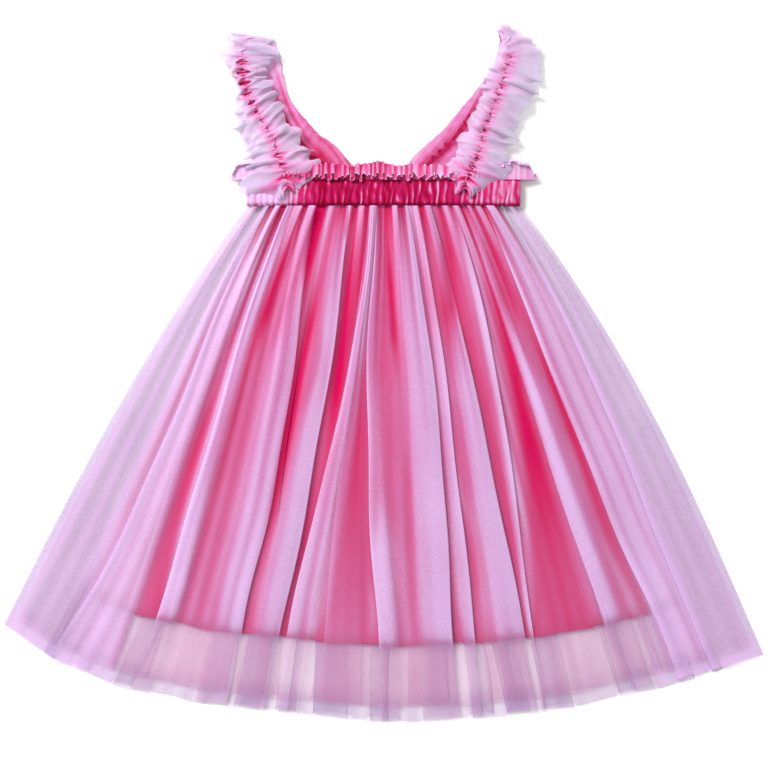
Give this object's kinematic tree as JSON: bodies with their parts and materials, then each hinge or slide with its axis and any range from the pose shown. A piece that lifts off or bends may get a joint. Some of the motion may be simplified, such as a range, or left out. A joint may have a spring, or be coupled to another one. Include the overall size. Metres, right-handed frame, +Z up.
{
  "type": "toddler party dress",
  "caption": "Sleeveless toddler party dress laid flat: long gathered tulle skirt over a satin lining, elastic chest band with a curly heading, ruffled shoulder straps.",
  "frame": {"origin": "centre of the dress's footprint, on the surface it lies on", "axes": "+X across the dress towards the wearer's left side as seen from above, +Y from the hem towards the shoulders, +Z up from the surface, out of the front of the dress"},
  "size_m": [0.5492, 0.5016, 0.0124],
  "materials": {
    "tulle": "sheer soft nylon tulle, pale lilac pink, slightly lustrous",
    "satin": "opaque crimson pink polyester satin, soft sheen",
    "gathered_tulle": "crimson pink satin under tightly gathered tulle",
    "ruffle_tulle": "several layers of sheer lilac pink tulle"
  },
  "bodies": {
    "root": {"tulle_skirt_front": "tulle", "tulle_skirt_back": "tulle", "inner_tulle_front": "tulle", "inner_tulle_back": "tulle", "lining_front": "satin", "lining_back": "satin", "band_front": "gathered_tulle", "band_back": "gathered_tulle", "heading_front": "ruffle_tulle", "heading_back": "ruffle_tulle", "strap_left": "gathered_tulle", "strap_right": "gathered_tulle", "outer_frill_left": "ruffle_tulle", "outer_frill_right": "ruffle_tulle", "inner_frill_left": "ruffle_tulle", "inner_frill_right": "ruffle_tulle"}
  },
  "joints": []
}
